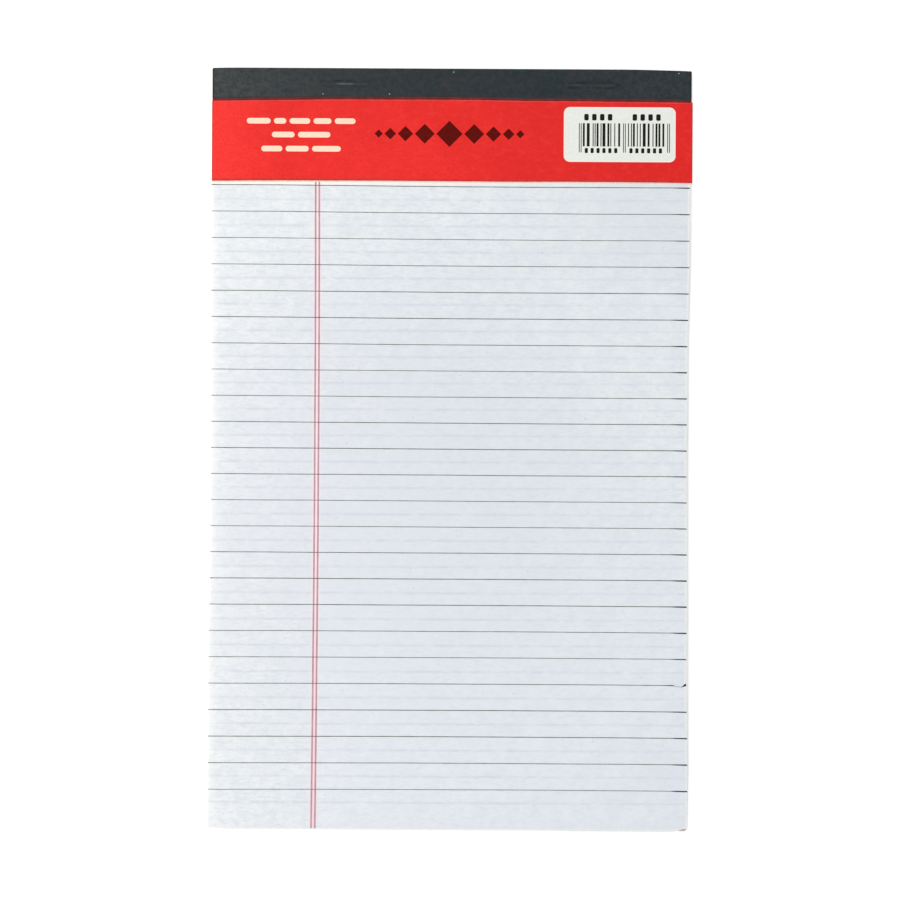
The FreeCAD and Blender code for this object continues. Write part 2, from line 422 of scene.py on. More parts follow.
def paper_finish():
    """Blue-white ruled paper: cloudy formation, show-through of the rules behind, fine fibre, and painted
    light and shade.
    """
    f = Finish("ruled_paper_face", 0.85, 0.3)
    cloud = f.noise(6.0, 6.0, 0.74)
    tone = f.over((235, 242, 249), (245, 250, 255), cloud, 0.35, 0.68)
    blotch = f.noise(2.0, 5.0, 0.76, bend=0.6)
    calm = f.fade(f.x, -5.0, 45.0, 1.0, 0.62)
    tone = f.mix(f.times(f.fade(blotch, 0.42, 0.68, 0.0, 0.72), calm), tone, (226, 233, 241))
    fibre = f.noise(0.9, 2.0, 0.6, (0.45, 1.6, 1.0), 0.3)
    tone = f.mix(f.times(f.fade(fibre, 0.45, 0.7, 0.0, 0.52), calm), tone, (218, 226, 236))
    # Painted shade: a wide greyer patch near the middle of the sheet.
    tone = f.mix(painted_shade_patch(f), tone, (223, 228, 240))
    # Painted light: paler and bluer towards the tail, most right of x -30 mm.
    painted_light_low = f.times(f.fade(f.y, -90.0, 30.0, 0.35, 0.0), f.fade(f.x, -45.0, -30.0, 0.2))
    tone = f.mix(painted_light_low, tone, (238, 241, 255))
    shaded = f.times(f.fade(f.x, 5.0, 50.0), f.fade(f.y, 30.0, 60.0, 0.0, 0.35))
    tone = f.mix(shaded, tone, (223, 228, 237))
    behind = rules_down(f, f.plus(f.y, f.times(f.x, GHOST_TURN)))
    ghost = f.fade(f.apart(f.maths("FRACT", behind), GHOST_DROP / RULE_PITCH), 0.0, 0.085, 1.0, 0.0)
    broken = f.fade(f.noise(2.4, 3.0, 0.6, (0.7, 1.6, 1.0)), 0.26, 0.62, 0.0, 0.48)
    tone = f.mix(f.times(ghost, broken, calm), tone, (207, 214, 224))
    tone = f.mix(f.specks(17.0, 0.24, 0.45, 0.3), tone, (160, 152, 146))
    off = from_margin(f)
    tone = f.over(tone, (253, 233, 240), off, 0.7 * MARGIN_GAP, 1.4 * MARGIN_GAP, 0.0, 0.75)
    pink = f.over((255, 224, 235), (255, 234, 241), f.y, -80.0, 0.0)
    tone = f.over(tone, pink, off, 0.3 * MARGIN_GAP, 0.6 * MARGIN_GAP, 0.0, 0.9)
    # Painted highlight: a near-white band between the card's edge and the first rule, fading towards the
    # right.
    painted_highlight_band = f.fade(f.y, FIRST_RULE + 0.2, FIRST_RULE + 0.6, 0.0, 0.85)
    painted_highlight_band = f.times(painted_highlight_band, f.fade(f.x, LEFT / 2, RIGHT, 1.0, 0.2))
    tone = f.mix(painted_highlight_band, tone, (255, 252, 249))
    # Painted highlight along the sheet's left edge: white at the edge and fading over about two millimetres.
    border = from_painted_highlight(f)
    tone = f.over(tone, (250, 253, 255), border, 0.0, 2.0, 0.0, 0.35)
    tone = f.over(tone, (255, 255, 255), border, -0.35, 0.4, 0.0, 1.0)
    f.rough(cloud, 0.78, 0.92)
    return f.done(tone, f.noise(0.35, 5.0), 0.012)


def rim_finish():
    """The last half millimetre of the top sheet, fluffed by the trimming knife and paler as a painted
    highlight.
    """
    f = Finish("ruled_paper_rim", 0.9, 0.3)
    fluff = f.noise(0.7)
    return f.done(f.over((240, 244, 247), (251, 252, 253), fluff, 0.35, 0.65), fluff, 0.012)


def painted_white_finish():
    """The margin of the sheets below, which only shows at the pad's edges: near-white as a painted highlight
    that keeps that strip bright.
    """
    f = Finish("ruled_paper_painted_white", 0.85, 0.3)
    tone = f.over((252, 252, 252), (255, 255, 254), f.noise(3.0, 4.0, 0.6), 0.35, 0.68)
    return f.done(tone, f.noise(0.35), 0.01)


def page_edge_finish():
    """The cut edges of the sheets: white, streaked with grey, with painted shade between sheets and a tick
    where each rule runs off.
    """
    f = Finish("ruled_paper_edge", 0.9, 0.2)
    streak = f.noise(1.0, scale=(0.05, 0.05, 14.0))
    tone = f.over((231, 231, 228), (252, 253, 252), streak, 0.3, 0.7)
    # Painted shade: thin dark lines where the sheets part.
    painted_gap_shade = f.noise(1.0, 3.0, 0.6, (0.03, 0.03, 3.6))
    tone = f.over(tone, (190, 189, 184), painted_gap_shade, 0.5, 0.66, 0.55)
    tone = f.over(tone, (200, 194, 186), f.noise(14.0, 4.0, 0.6), 0.5, 0.8, 0.25)
    phase = f.maths("FRACT", f.plus(rules_down(f, f.y), 0.5))
    tick = f.fade(f.apart(phase, 0.5), 0.015, 0.045, 1.0, 0.0)
    inked = f.fade(f.noise(0.5, 2.0, 0.5, (1.0, 1.0, 6.0)), 0.35, 0.6)
    ruled = f.maths("LESS_THAN", f.y, FIRST_RULE + 0.5 * RULE_PITCH)
    tone = f.mix(f.times(tick, inked, ruled, 0.55), tone, (96, 100, 106))
    return f.done(tone, streak, 0.05, 0.6)


def rule_finish():
    """Grey-black ruling ink, uneven along the line and denser where it leaves the sheet on the right."""
    f = Finish("rule_ink", 0.6, 0.3)
    tone = f.over((74, 82, 70), (100, 107, 93), f.noise(2.6))
    return f.done(f.over(tone, (36, 38, 42), f.x, RIGHT - HEAVY_RUN - 0.5, RIGHT - HEAVY_FULL - 0.6))


def margin_finish():
    """Crimson-pink margin ink, thinner in patches."""
    f = Finish("margin_ink", 0.6, 0.3)
    return f.done(f.over((186, 146, 161), (202, 162, 176), f.noise(2.2)))


def card_finish():
    """The header card's red print: slightly glossy, with painted sheen at the left and painted shade to the
    right, fine grain, flecks and chips.
    """
    f = Finish("red_print", 0.5, 0.2)
    tone = f.over((234, 37, 34), (245, 43, 38), f.noise(12.0, 4.0, 0.6))
    # Painted shade, darker towards the right, and a painted sheen, paler at the left end.
    tone = f.over(tone, (226, 30, 28), f.x, LEFT / 3, RIGHT, 0.6)
    tone = f.over(tone, (255, 54, 50), f.x, LEFT, 0.7 * LEFT, 0.0, 0.75)
    grain = f.noise(0.7, 3.0)
    tone = f.over(tone, (226, 20, 16), grain, 0.4, 0.68, 0.36)
    fleck = f.noise(2.2, 5.0, 0.75, (0.8, 1.3, 1.0), 0.2)
    tone = f.over(tone, (252, 56, 52), fleck, 0.47, 0.66, 0.4)
    tone = f.mix(f.specks(19.0, 0.2, 0.35, 0.3), tone, (250, 150, 136))
    f.rough(grain, 0.44, 0.56)
    return f.done(tone, f.noise(0.3, 3.0, 0.6), 0.006)


def dark_band_finish():
    """A darker band of the red print along the card's front edge and sides, worn through in places."""
    f = Finish("red_dark_band", 0.6, 0.15)
    wear = f.noise(1.6)
    tone = f.over((198, 52, 46), (218, 58, 48), wear, 0.35, 0.65)
    return f.done(f.over(tone, (244, 170, 160), wear, 0.7, 0.8, 0.5), f.noise(0.3, 3.0, 0.6), 0.01)


def core_finish():
    """The card's cut edge and back, where no ink lies."""
    f = Finish("card_core", 0.85, 0.2)
    fibre = f.noise(0.4)
    return f.done(f.over((238, 186, 178), (253, 228, 219), fibre, 0.3, 0.6), fibre, 0.03)


def staple_shade_and_wear(f, tone):
    """Over the staples: a painted highlight with rubbed wear along each crown, and painted shade in the
    creases beside it.
    """
    for number, (low, high) in enumerate(STAPLES):
        x, y = f.x, f.y
        middle, line = (low[0] + high[0]) / 2, (low[1] + high[1]) / 2
        inside = f.fade(x, low[0] - 0.6, low[0] + 0.8)
        inside = f.times(inside, f.fade(x, high[0] - 0.8, high[0] + 0.6, 1.0, 0.0))
        patchy = f.noise(2.6, 3.0, 0.6, (0.8, 1.6, 1.0), 0.04 + 0.03 * number)
        spread = f.fade(f.apart(x, middle + PALE_MIDDLE[number]), *PALE_REACH, *PALE_SPREAD[number])
        for off, half, grey, share in STAPLE_MARKS[number]:
            near = f.fade(f.apart(y, line + off), 0.3 * half, half, 1.0, 0.0)
            # Above the grey limit a painted highlight with rubbed wear on the ridge; below it painted shade
            # in a crease.
            if grey > SHINE_AND_RUB_GREY:
                broken = f.times(f.fade(patchy, 0.42, 0.58, 0.2), spread)
            else:
                broken = f.fade(patchy, 0.4, 0.55, 1.0, 0.15)
            tone = f.mix(f.times(near, inside, share, broken), tone, (grey, grey, grey))
    return tone


def tape_finish():
    """Charcoal binding tape: a fine weave under a matt coating, mottled, with dust caught on it and painted
    sheen at the left.
    """
    f = Finish("charcoal_tape_face", 0.55, 0.2)
    cloud = f.noise(16.0, 4.0, 0.62)
    tone = f.over((22, 36, 43), (34, 42, 47), cloud, 0.35, 0.65)
    # Painted sheen: paler grey towards the left end.
    tone = f.over(tone, (72, 74, 74), f.x, LEFT, 0.0, 0.0, 0.3)
    tone = f.over(tone, (58, 50, 50), f.noise(5.0, 3.0, 0.6), 0.5, 0.7, 0.3)
    mottle = f.noise(1.5, 5.0, bend=0.4)
    # Lighter mottle, partly wear and partly painted sheen, strongest at the left end and a little at the
    # right.
    worn = f.plus(f.fade(f.x, LEFT, -30.0, 0.2, 0.0), 0.12)
    worn = f.plus(worn, f.fade(f.x, 20.0, RIGHT, 0.0, 0.07))
    tone = f.mix(f.times(f.fade(mottle, 0.34, 0.64), worn), tone, (92, 98, 100))
    for turn in (0.0, math.pi / 2):
        thread = f.noise(0.6, 2.0, 0.6, (0.22, 1.0, 1.0), turn)
        tone = f.over(tone, (26, 34, 38), thread, 0.46, 0.74, 0.28)
    tone = f.mix(f.specks(19.0, 0.2, 0.4, 0.75), tone, (190, 192, 190))
    f.rough(cloud, 0.48, 0.6)
    height = f.plus(f.times(f.weave(), 0.35), f.noise(0.8))
    return f.done(staple_shade_and_wear(f, tone), height, 0.02, 0.6)


def tape_edge_finish():
    """The tape's cut ends, pressed and rubbed dark."""
    f = Finish("charcoal_tape_edge", 0.75, 0.1)
    rub = f.noise(0.9)
    return f.done(f.over((32, 36, 38), (50, 52, 52), rub), rub, 0.015)


def painted_edge_band_finish(name, dark, light):
    """One band of the painted shadow and highlight at the tape's front edge, denser in places."""
    f = Finish(name, 0.55, 0.15)
    tone = f.over(dark, light, f.noise(3.0, 4.0, 0.65))
    return f.done(tone, f.noise(0.4, 3.0, 0.6), 0.01)


def board_finish(name, layered):
    """Grey-brown backing board: pulpy and flecked, layered where cut, with painted light at one tail corner
    that lies in shade.
    """
    f = Finish(name, 0.9, 0.2)
    tone = f.over((164, 149, 136), (175, 161, 146), f.noise(9.0, 6.0, 0.75), 0.3, 0.7)
    tone = f.over(tone, (184, 171, 157), f.noise(0.8, 4.0, 0.75), 0.36, 0.64, 0.5)
    for turn, size in ((0.5, 0.32), (2.1, 0.26), (1.2, 0.4)):
        fibre = f.noise(size, 2.0, 0.6, (0.3, 2.2, 1.0), turn)
        tone = f.over(tone, (206, 196, 181), fibre, 0.6, 0.72, 0.55)
    chip = f.noise(1.1, 3.0, 0.75, (1.5, 0.7, 1.0), 0.5)
    tone = f.over(tone, (122, 107, 95), chip, 0.66, 0.73, 0.6)
    tone = f.mix(f.specks(5.0, 0.28, 0.4, 0.7), tone, (98, 84, 74))
    if layered:
        layer = f.noise(0.8, 3.0, 0.6, (0.08, 0.08, 6.0))
        tone = f.over(tone, (128, 114, 102), layer, 0.4, 0.7, 0.6)
    # Painted light: a pale patch at the worn tail corner, lifting the shade there.
    corner = f.node("ShaderNodeVectorMath", Vector=f.place)
    corner.operation = "DISTANCE"
    corner.inputs[1].default_value = ((RIGHT - 1.0) * MM, TAIL * MM, BOARD_HIGH[2] * MM)
    tone = f.over(tone, (244, 220, 218), corner.outputs["Value"], 2.1 * MM, 3.4 * MM, 0.0, 0.9)
    return f.done(tone, f.noise(0.5, 5.0), 0.03, 0.7)


def wire_finish():
    """Drawn steel staple wire with a thin zinc coat."""
    f = Finish("staple_steel", 0.35, 0.5)
    f.shader.inputs["Metallic"].default_value = 1.0
    drawn = f.noise(0.4, 3.0, 0.6, (0.1, 1.0, 1.0))
    f.rough(drawn, 0.28, 0.45)
    return f.done(f.mix(drawn, (150, 153, 156), (196, 198, 200)))


def ink_finish(name, dark, light, roughness=0.55, gloss=0.3):
    """Flat printing ink with slight density changes."""
    f = Finish(name, roughness, gloss)
    grain = f.noise(0.7, 4.0, 0.65)
    return f.done(f.over(dark, light, grain), grain, 0.004, 0.4)


# ---- sheets

def corner_cut(rise, radius):
    """How far a rounded corner cuts in at a distance from the edge beside it."""
    inside = np.clip(radius - rise, 0.0, radius)
    return radius - np.sqrt(radius**2 - inside**2)


def head_pull(x):
    """How far the head runs back from its straight line: at its right end, and round its two corners."""
    skewed = 0.37 * np.clip((x - 46) / 17.6, 0.0, 1.1) ** 1.5 + 0.1 * np.clip((-56 - x) / 8, 0.0, 1.1) ** 1.5
    return skewed + corner_cut(x - LEFT + 0.1, 0.5) + corner_cut(RIGHT + 0.1 - x, 0.3)


def right_edge(y, depth):
    """Where a sheet's right edge runs. depth is 0 for the top sheet and 1 for the lowest."""
    under_card = 0.48 * ease((CARD_LOW[1] + 1 - y) / 3)
    stepped = 0.5 * ease((52 - y) / 30) - 0.0079 * np.clip(-6 - y, 0.0, None)
    stepped = stepped + 0.25 * np.exp(-(((y + 60) / 12) ** 2))
    lowest = 0.48 * ease((60 - y) / 36) - 0.06
    lowest = lowest - 0.0052 * np.clip(-y, 0.0, None) + 0.25 * ease((-86 - y) / 10)
    return RIGHT - lowest * depth - (1 - depth) * (under_card + stepped)


def left_edge(y, depth):
    """Where a sheet's left edge runs: the top sheets are turned a little against the pad."""
    turned = -0.2 + 0.13 * ease((40 - y) / 10) - 0.4 * ease((-22 - y) / 45)
    return LEFT + (1 - 0.5 * depth) * turned


def place_sheet(u, v, depth, out=0.0):
    """Points of a sheet from shares across and along it. out moves its cut edges outwards."""
    straight = LEFT + (RIGHT - LEFT) * u
    worn = 0.74 * ease((straight - RIGHT + 1.75) / 0.4)
    fanned = 0.18 + 0.14 * ease((straight - LEFT - 1) / 8) + 0.15 * depth * ease((straight - 25) / 12)
    tail = TAIL - out + worn - fanned
    y = tail + (HEAD - head_pull(straight) - tail) * v
    cut = corner_cut(y - tail, WORN_CORNER)
    left = left_edge(y, depth) - out + cut
    right = right_edge(y, depth) + out - cut
    return left + (right - left) * u, y


def roll_off(x, y):
    """How far the left edge turns down, clear of the card."""
    near = np.clip(1 - (x - left_edge(y, 0.0)) / LEFT_REACH, 0.0, 1.2)
    return -LEFT_ROLL * near**2 * ease((CARD_LOW[1] - 1.5 - y) / 8)


def free_lift(x, y):
    """How far the top sheet's free end stands off the sheets below."""
    loose = ease((CARD_LOW[1] - 12 - y) / 60)
    tail = np.exp(-(((y - TAIL) / 24) ** 2)) * (0.5 + 0.5 * np.sin(x / 15 + 0.6))
    side = np.exp(-(((RIGHT - x) / 8) ** 2)) * (0.5 + 0.5 * np.sin(y / 13 + 1.0))
    curl = np.exp(-(((RIGHT - x) ** 2 + (y - TAIL) ** 2) / 60))
    return loose * (0.1 * tail + 0.05 * side + 0.16 * curl)


def sheet_top(x, y, number=0):
    """The upper face of a sheet, counted from the top of the pad."""
    share = 1 - 0.25 * number
    return BLOCK_HIGH[2] - number * SHEET_PITCH + roll_off(x, y) + share * free_lift(x, y)


def sheet_shares(step, extra=()):
    """Shares across and along a sheet, closer together near its cut edges."""
    width, length = RIGHT - LEFT, HEAD - TAIL
    marks = [(y - TAIL) / length for y in extra]
    u = stations(0.0, 1.0, step / width, EDGE_FINE / width, EDGE_REACH / width)
    v = stations(0.0, 1.0, step / length, EDGE_FINE / length, EDGE_REACH / length, marks)
    return np.meshgrid(u, v)


def border_shares(u, v):
    """The shares along a sheet's border, and how far round it they lie."""
    edge_u, edge_v = border_of(u), border_of(v)
    return edge_u, edge_v, edge_u * (RIGHT - LEFT) + edge_v * (HEAD - TAIL)


def build_loose_sheet(number, face, edge, rim):
    """One of the upper sheets, thin, cut square, with its free end a little off the sheets below."""
    nick_y = FIRST_RULE - NICK_RULE * RULE_PITCH
    nick = nick_y + np.linspace(-NICK_REACH, NICK_REACH, 5)
    u, v = sheet_shares(1.6 if number == 0 else 2.4, nick if number == 0 else ())
    x, y = place_sheet(u, v, (0.0, 0.45, 0.75)[number])
    x += u**40 * ripple(50 + number, y, 40.0, 0.035)
    y -= (1 - v) ** 40 * ripple(60 + number, x, 50.0, 0.04)
    if number == 0:
        x -= u**30 * NICK_DEPTH * ease(1 - np.abs(y - nick_y) / NICK_REACH)
    top = sheet_top(x, y, number)
    parts = banded(x, 2, 2)
    parts[:, :2] = 0
    skin = Skin().shell(stacked(x, y, top), stacked(x, y, top - SHEET_THICK), parts=parts)
    name = ("top_sheet", "second_sheet", "third_sheet")[number]
    skin.piece(name, 40, "ruled_paper", [face, edge, rim])


def build_board(face, edge):
    """The backing board, with the layers of its pulp along its cut edges."""
    u, v = sheet_shares(3.2)
    low, high = BOARD_LOW[2], BOARD_HIGH[2]

    def outline(across, along, out):
        head = HEAD - head_pull(LEFT + (RIGHT - LEFT) * across) + min(out, 0.0)
        tail = TAIL - 0.14 - out - 0.6 * ease((across - 0.98) / 0.007) * ease((1.002 - across) / 0.004)
        y = tail + (head - tail) * along
        cut = corner_cut(y - tail, 0.3)
        left, right = left_edge(y, 1.0) - out + cut, right_edge(y, 0.9) + out - cut
        return left + (right - left) * across, y

    x, y = outline(u, v, -0.04)
    edge_u, edge_v, around = border_shares(u, v)
    edge_x, edge_y = outline(edge_u, edge_v, 0.0)
    from_x, from_y = edge_x - (LEFT + RIGHT) / 2, edge_y - (HEAD + TAIL) / 2
    far = np.hypot(from_x, from_y)
    rings = []
    for layer, share in enumerate(np.linspace(0.06, 0.94, BOARD_LAYERS)):
        out = 0.02 * math.cos(5.2 * layer) + ripple(500 + layer, around, 7.0, 0.02) - 0.02
        z = high - (high - low) * share
        rings.append(stacked(edge_x + out * from_x / far, edge_y + out * from_y / far, z))
    skin = Skin().shell(stacked(x, y, high), stacked(x, y, low), rings, back=0)
    skin.piece("board", 60, "greyboard", [face, edge], "backing_board")


def build_page_stack(face, edge):
    """The sheets below the loose ones as one block whose cut edges show every sheet."""
    u, v = sheet_shares(2.2)
    rng = np.random.default_rng(7)
    count = SHEETS - LOOSE_SHEETS
    top_z = BLOCK_HIGH[2] - LOOSE_SHEETS * SHEET_PITCH - 0.004
    x, y = place_sheet(u, v, 0.85)
    upper = stacked(x, y, top_z + roll_off(x, y))
    lower = stacked(*place_sheet(u, v, 1.0), BLOCK_LOW[2])
    edge_u, edge_v, around = border_shares(u, v)
    pitch = (top_z - BLOCK_LOW[2]) / count
    rings, shift, left_in_bunch = [], 0.0, 0
    for sheet in range(count):
        if left_in_bunch == 0:
            shift = rng.uniform(-0.08, 0.06)
            left_in_bunch = int(rng.integers(2, 7))
        left_in_bunch -= 1
        depth = 0.85 + 0.15 * (sheet + 0.5) / count
        out = shift + rng.uniform(-0.015, 0.015) + ripple(100 + sheet, around, 60.0, 0.015)
        x, y = place_sheet(edge_u, edge_v, depth, out)
        sink = roll_off(x, y) * (1 - sheet / count) ** 2
        z = top_z - (sheet + 0.5) * pitch
        rings.append(stacked(x, y, z + sink))
        if sheet < count - 1:
            groove = place_sheet(edge_u, edge_v, depth, out - PAGE_GROOVE)
            rings.append(stacked(*groove, z - 0.5 * pitch + sink))
    skin = Skin().shell(upper, lower, rings)
    skin.piece("page_stack", 75, "ruled_paper", [face, edge], "sheet_block")


# ---- ink on the paper

def rule_line(number, x):
    """Where a rule runs: the printing drifts down the page, turns and bows a little, and wanders."""
    share = number / (RULES - 1)
    across = x / RIGHT
    drift = 0.055 - RULE_DRIFT * math.sin(2 * math.pi * share)
    turn = across * (0.27 * share**1.6 - 0.215)
    bow = across**2 * (0.2 - 0.375 * share)
    wander = ripple(200 + number, x, 70.0, 0.02)
    droop = 0.06 * ease((x - RIGHT + 6) / 6) + 0.13 * 0.8**number * ease((-45 - x) / 18)
    return FIRST_RULE - number * RULE_PITCH + drift + turn + bow + wander - droop


def rule_half(number, x, end):
    """Half a rule's width along it: uneven, and drawn out heavier where it leaves the sheet at the right."""
    heavy = np.clip((x - end + HEAVY_RUN) / (HEAVY_RUN - HEAVY_FULL), 0.0, 1.0)
    strength = 0.5 + 0.22 * math.sin(0.74 * (number - 5)) + 0.25 * number / RULES
    weight = 1.0 + 0.12 * math.sin(5.1 * number + 0.7)
    return RULE_HALF * weight + HEAVY_HALF * strength * heavy + ripple(300 + number, x, 9.0, 0.01)


def lay_ink(skin, x, y, over=0.0):
    """A thin band of ink on the top sheet, raised where it lies over other ink."""
    top = sheet_top(x, y)
    skin.shell(stacked(x, y, top + INK_RISE + over), stacked(x, y, top - INK_SINK))


def lay_rule(skin, x, middle, half):
    """One rule, over the margin lines where it crosses them."""
    lay_ink(skin, x, np.stack([middle - half, middle + half]), RULE_OVER)


def lay_torn_rule(skin, number, start, end):
    """The rule at the nick: thin and dragged down before it, with a dark fleck flicked up at its end."""
    x = stations(start, end - TORN_SHORT, RULE_STEP, reach=4.0)
    dip = 0.3 * ease((x - end + TORN_RUN) / 1.6)
    thin = 1 - 0.72 * ease((x - end + TORN_RUN) / 0.9)
    lay_rule(skin, x, rule_line(number, x) - dip, rule_half(number, x, end - 1.6) * thin)
    x = np.linspace(end - FLICK_RUN, end - 0.02, 10)
    flick = ease((x - end + FLICK_RUN) / 1.1)
    lay_rule(skin, x, rule_line(number, x) + (0.58 * flick - 0.36), 0.07 + 0.27 * flick)


def build_rules(ink):
    """The rules as thin lines of ink that lie on the top sheet. One is broken where the edge is nicked."""
    skin = Skin()
    for number in range(RULES):
        at = FIRST_RULE - number * RULE_PITCH
        start, end = left_edge(at, 0.0), right_edge(at, 0.0)
        if number == NICK_RULE:
            lay_torn_rule(skin, number, start, end)
        else:
            x = stations(start, end, RULE_STEP)
            lay_rule(skin, x, rule_line(number, x), rule_half(number, x, end))
    skin.piece("rules", 40, "ruled_paper", [ink, ink])


def build_margin_lines(ink):
    """The double margin rule, from under the header card to the tail."""
    skin = Skin()
    y = stations(TAIL, CARD_LOW[1] + 1.0, RULE_STEP)
    for side in (-1, 1):
        middle = MARGIN_X - MARGIN_BOW * y**2 - MARGIN_LEAN * y + side * MARGIN_GAP / 2
        middle += ripple(400 + side, y, 60.0, 0.02)
        half = MARGIN_HALF + ripple(410 + side, y, 11.0, 0.015)
        lay_ink(skin, np.stack([middle - half, middle + half], axis=1), np.stack([y, y], axis=1))
    skin.piece("margin_lines", 40, "ruled_paper", [ink, ink])


# ---- header card and its print

def card_front(x):
    """The front edge of the card's red face, which bows forward towards both sides."""
    dip = 0.1 * np.exp(-(((x - 17) / 11) ** 2))
    return CARD_LOW[1] - 0.32 + 0.2 * (1 - (x / CARD_HIGH[0]) ** 4) - dip + ripple(21, x, 60.0, 0.03)


def build_card(face, core, dark_band):
    """The header card: its front edge slopes and bares the core, with a darker band of print behind it and
    along its sides.
    """
    x = stations(CARD_LOW[0] - 0.1, CARD_HIGH[0] + 0.2, 2.0, 0.06, 0.36)
    front, tape, head = card_front(x), tape_front(x), CARD_HIGH[1] - 0.05 - head_pull(x)
    rise = np.concatenate([np.linspace(-CARD_BEVEL, 0, 4), np.linspace(0.1, CARD_DARK_BAND, 5)])[:, None]
    clear = np.linspace(0, 1, 15)[1:, None]
    under = np.linspace(0, 1, 5)[1:, None]
    tape_y = tape + UNDER_TAPE
    y = np.concatenate([front + rise, front + CARD_DARK_BAND + (tape - front - CARD_DARK_BAND) * clear])
    y = np.concatenate([y, [tape_y], tape_y + (head - tape_y) * under])
    covered = np.concatenate([np.zeros(len(rise) + len(clear)), np.ones(1 + len(under))])[:, None]
    rise = np.concatenate([rise, np.full((len(y) - len(rise), 1), CARD_DARK_BAND)])
    x = x * (1 - CARD_TUCK * covered / CARD_HIGH[0])
    near = np.minimum(x - x[:, :1], x[:, -1:] - x)
    round_off = -0.05 * np.clip(1 - near / CARD_ROUND, 0.0, 1.0) ** 2
    slope = (CARD_HIGH[2] - CARD_LOW[2] - 0.01) * np.clip(rise / CARD_BEVEL, -1.0, 0.0)
    parts = banded(x, 8, 4)
    parts[:3, :] = 1
    upper = stacked(x, y, CARD_HIGH[2] + round_off + slope)
    skin = Skin().shell(upper, stacked(x, y, CARD_LOW[2] + 0.002), parts=parts)
    skin.piece("header_card", 50, "red_card", [face, core, dark_band], "header_strip")


def card_y(down):
    """A height on the card, measured down from a line just inside the tape's front edge."""
    return PRINT_TOP - down


def rounded(x, y, width, height, radius, steps=5):
    """An anticlockwise outline of a rectangle with rounded corners, about its middle."""
    outline = []
    for quarter, (side, level) in enumerate(((1, 1), (-1, 1), (-1, -1), (1, -1))):
        for step in range(steps + 1):
            angle = math.pi / 2 * (quarter + step / steps)
            centre_x = x + side * (width / 2 - radius)
            centre_y = y + level * (height / 2 - radius)
            outline.append((centre_x + radius * math.cos(angle), centre_y + radius * math.sin(angle)))
    return outline


def lozenge(x, y, size):
    """A four-pointed outline about its middle."""
    return [(x + size / 2, y), (x, y + size / 2), (x - size / 2, y), (x, y - size / 2)]


def print_on_card(name, outlines, ink, lift=0.0, sink=INK_SINK):
    """Thin closed plates of one ink, one for each outline, over the card's face or over other ink on it."""
    points, faces = [], []
    high = CARD_HIGH[2] + lift + INK_RISE
    low = CARD_HIGH[2] + lift - sink
    for outline in outlines:
        start, count = len(points), len(outline)
        points += [(x * MM, y * MM, high * MM) for x, y in outline]
        points += [(x * MM, y * MM, low * MM) for x, y in outline]
        faces.append([start + i for i in range(count)])
        faces.append([start + 2 * count - 1 - i for i in range(count)])
        for i in range(count):
            j = (i + 1) % count
            faces.append([start + i, start + count + i, start + count + j, start + j])
    mesh = bpy.data.meshes.new(name)
    mesh.from_pydata(points, [], faces)
    mesh.update()
    piece(name, mesh, [ink])


def build_header_rows(ink):
    """Centred rows of round-ended dashes at the left of the card, in place of lines of text."""
    outlines = []
    for width, down, count, seed in DASH_ROWS:
        rng = np.random.default_rng(seed)
        lengths = rng.uniform(0.45, 1.0, count)
        lengths *= (width - DASH_GAP * (count - 1)) / lengths.sum()
        left = DASH_X - width / 2
        for length in lengths:
            outlines.append(rounded(left + length / 2, card_y(down), length, DASH_HEIGHT, 0.49 * DASH_HEIGHT))
            left += length + DASH_GAP
    print_on_card("header_rows", outlines, ink)


def build_ornament(ink):
    """A plain printer's ornament in the card's middle: a band of lozenges, the largest in its own middle."""
    outlines = [lozenge(ORNAMENT_X, card_y(ORNAMENT_DROP), LOZENGE)]
    reach = LOZENGE / 2 + LOZENGE_GAP
    for size in LOZENGES:
        for side in (-1, 1):
            outlines.append(lozenge(ORNAMENT_X + side * (reach + size / 2), card_y(ORNAMENT_DROP), size))
        reach += size + LOZENGE_GAP
    print_on_card("header_ornament", outlines, ink)


def build_label(name, ink, inset=0.0, lift=0.0):
    """A white panel with round corners at the right of the card: the rim, or the field on it."""
    width, height = LABEL_WIDTH - 2 * inset, LABEL_HEIGHT - 2 * inset
    outline = rounded(LABEL_X, card_y(LABEL_DROP), width, height, LABEL_CORNER - inset, 8)
    print_on_card(name, [outline], ink, lift)


def build_label_bars(ink):
    """Made-up bars that stand for no code, three pairs of them longer, with plain blocks above and below."""
    rng = np.random.default_rng(12)
    outlines = []

    def bar(start, modules, foot):
        low = BAR_LEFT + start * BAR_MODULE
        high = BAR_LEFT + (start + modules) * BAR_MODULE
        head, foot = card_y(BAR_TOP), card_y(foot)
        outlines.append([(low, foot), (high, foot), (high, head), (low, head)])

    def blocks(left, pitch, count, down, width, height, corner):
        for block in range(count):
            outlines.append(rounded(left + pitch * block, card_y(down), width, height, corner))

    for guard in (0, BAR_HALF - 1, BAR_MODULES - 3):
        bar(guard, 0.8, 13.75)
        bar(guard + 1.9, 0.8, 13.75)
    for first, last in ((4, BAR_HALF - 4), (BAR_HALF + 4, BAR_MODULES - 7)):
        at = first
        while at < last:
            wide = int(rng.choice([1, 1, 1, 2, 2, 3]))
            bar(at, wide, 12.15)
            at += wide + int(rng.choice([1, 2, 2, 3]))
    for start in (7.6, 53.1):
        blocks(BAR_LEFT + start * BAR_MODULE, 6.0 * BAR_MODULE, 6, 13.25, 0.85, 1.35, 0.25)
    for start in (2.0, 14.9):
        blocks(BAR_LEFT + start, 2.1, 4, 4.35, 1.2, 1.75, 0.35)
    print_on_card("label_bars", outlines, ink, INK_RISE, 0.0)


# ---- tape

